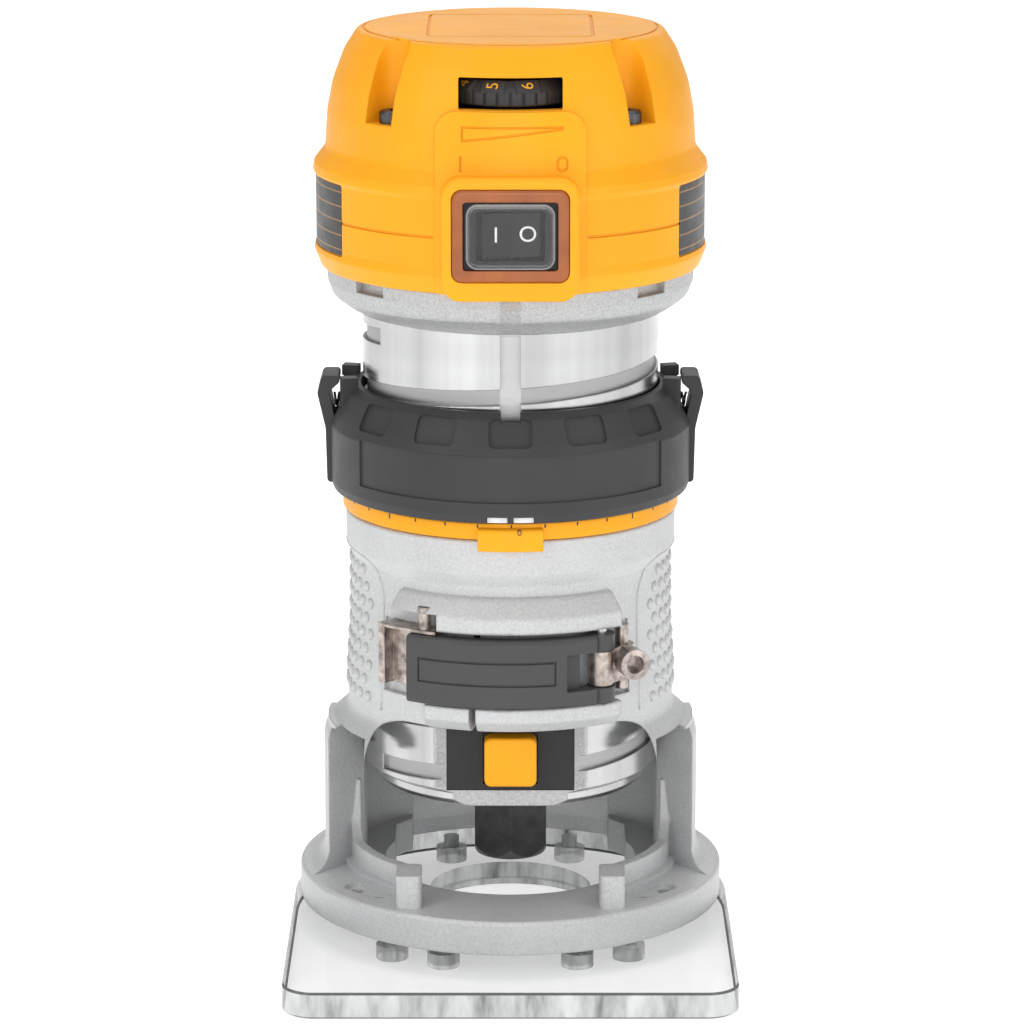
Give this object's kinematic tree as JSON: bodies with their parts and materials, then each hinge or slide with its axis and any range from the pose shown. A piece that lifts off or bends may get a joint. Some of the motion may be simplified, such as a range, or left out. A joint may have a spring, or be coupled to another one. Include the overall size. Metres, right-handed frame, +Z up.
{
  "type": "compact router",
  "caption": "Hand-held woodworking router with its motor clamped in a round fixed base: lever clamp, threaded depth ring, spindle lock, collet and nut, speed dial and rocker switch.",
  "frame": {"origin": "spindle axis at the underside of the sub-base", "axes": "+Z up along the spindle, -Y towards the user and the straight edge, +X to the right"},
  "size_m": [0.1034, 0.1268, 0.2142],
  "materials": {
    "cast_aluminium": "bead-blasted casting, fine matt grain",
    "machined_aluminium": "turned, bright, fine tool lines round the barrel",
    "plated_steel": "pressed sheet, dull zinc",
    "steel": "bright, machined",
    "dark_steel": "blackened steel",
    "bearing_steel": "ground and polished",
    "laminated_steel": "stacked laminations",
    "copper_wire": "enamelled copper wire",
    "brass": "bright",
    "carbon": "pressed carbon",
    "yellow_plastic": "moulded, fine grain, satin",
    "grey_plastic": "moulded, fine spark texture",
    "black_plastic": "moulded, satin",
    "amber_plastic": "translucent amber, gloss",
    "clear_plastic": "clear flexible dust cover",
    "clear_acrylic": "clear, polished, 6 mm",
    "label_film": "plain black film with lines, no wording",
    "rubber": "matt"
  },
  "bodies": {
    "base": {"fixed_base": "cast_aluminium", "sub_base": "clear_acrylic", "sub_base_screws": "steel", "clamp_strap": "plated_steel", "anchor_pin": "steel", "lever_pivot_pin": "steel", "trunnion_pin": "steel", "clamp_screw": "steel", "clamp_nut": "steel", "clamp_link": "plated_steel"},
    "lever": {"clamp_lever": "black_plastic"},
    "depth_ring": {"depth_ring": "grey_plastic", "tab_pins": "steel", "right_tab_spring": "steel", "left_tab_spring": "steel"},
    "index_ring": {"index_ring": "yellow_plastic"},
    "left_tab": {"left_release_tab": "grey_plastic"},
    "right_tab": {"right_release_tab": "grey_plastic"},
    "motor": {"motor_housing": "machined_aluminium", "spindle_dust_seal": "rubber", "lower_bearing": "bearing_steel", "upper_bearing": "bearing_steel", "bearing_retainer": "plated_steel", "retainer_screws": "steel", "bearing_bridge": "grey_plastic", "stator_core": "laminated_steel", "stator_windings": "copper_wire", "brush_holders": "brass", "carbon_brushes": "carbon", "brush_springs": "steel", "fan_baffle": "grey_plastic", "lock_insert": "black_plastic", "lock_spring": "steel", "top_cap": "yellow_plastic", "side_labels": "label_film", "cap_screws": "steel", "cord_inlet": "rubber", "switch_frame": "amber_plastic", "switch_body": "black_plastic", "switch_dust_cover": "clear_plastic", "dial_axle": "black_plastic", "speed_control_module": "black_plastic"},
    "rocker": {"switch_rocker": "black_plastic"},
    "dial": {"speed_dial": "black_plastic"},
    "lock_button": {"lock_button": "yellow_plastic"},
    "spindle": {"spindle": "steel", "armature_core": "laminated_steel", "armature_windings": "copper_wire", "commutator": "brass", "cooling_fan": "grey_plastic"},
    "collet": {"collet": "steel"},
    "nut": {"collet_nut": "dark_steel"}
  },
  "joints": [
    {"name": "ring_turn", "type": "hinge", "parent": "base", "child": "depth_ring", "pos_m": [0, 0, 0], "axis": [0, 0, 1], "range_deg": [-595, 396.8]},
    {"name": "motor_slide", "type": "slide", "parent": "base", "child": "motor", "axis": [0, 0, 1], "range_m": [-0.0141, 0.0211]},
    {"name": "index_turn", "type": "hinge", "parent": "base", "child": "index_ring", "pos_m": [0, 0, 0], "axis": [0, 0, 1], "continuous": true},
    {"name": "left_tab_press", "type": "hinge", "parent": "depth_ring", "child": "left_tab", "pos_m": [-0.0397, 0, 0.1195], "axis": [0, 1, 0], "range_deg": [0, 4.3], "stiffness_Nm_per_rad": 0.25, "springref_deg": -2.86, "deforming": ["left_tab_spring"]},
    {"name": "right_tab_press", "type": "hinge", "parent": "depth_ring", "child": "right_tab", "pos_m": [0.0397, 0, 0.1195], "axis": [0, -1, 0], "range_deg": [0, 8], "stiffness_Nm_per_rad": 0.25, "springref_deg": -2.86, "deforming": ["right_tab_spring"]},
    {"name": "lever_open", "type": "hinge", "parent": "base", "child": "lever", "pos_m": [0.0208, -0.0352, 0.0714], "axis": [0, 0, 1], "range_deg": [0, 100]},
    {"name": "switch_rock", "type": "hinge", "parent": "motor", "child": "rocker", "pos_m": [0, -0.0436, 0.1733], "axis": [0, 0, -1], "range_deg": [0, 18]},
    {"name": "dial_turn", "type": "hinge", "parent": "motor", "child": "dial", "pos_m": [0, -0.0254, 0.2036], "axis": [0, 0, 1], "range_deg": [-18, 158]},
    {"name": "lock_press", "type": "slide", "parent": "motor", "child": "lock_button", "axis": [0, 1, 0], "range_m": [0, 0.004], "stiffness_N_per_m": 600, "springref_m": -0.002, "deforming": ["lock_spring"]},
    {"name": "spindle_spin", "type": "hinge", "parent": "motor", "child": "spindle", "pos_m": [0, 0, 0], "axis": [0, 0, 1], "continuous": true},
    {"name": "collet_slide", "type": "slide", "parent": "spindle", "child": "collet", "axis": [0, 0, -1], "range_m": [0, 0.0031]},
    {"name": "nut_turn", "type": "hinge", "parent": "collet", "child": "nut", "pos_m": [0, 0, 0], "axis": [0, 0, -1], "range_deg": [0, 720]}
  ],
  "couplings": [
    {"joint": "motor_slide", "follows": "ring_turn", "m_per_rad": -0.0020213},
    {"joint": "collet_slide", "follows": "nut_turn", "m_per_rad": 0.00023873}
  ]
}
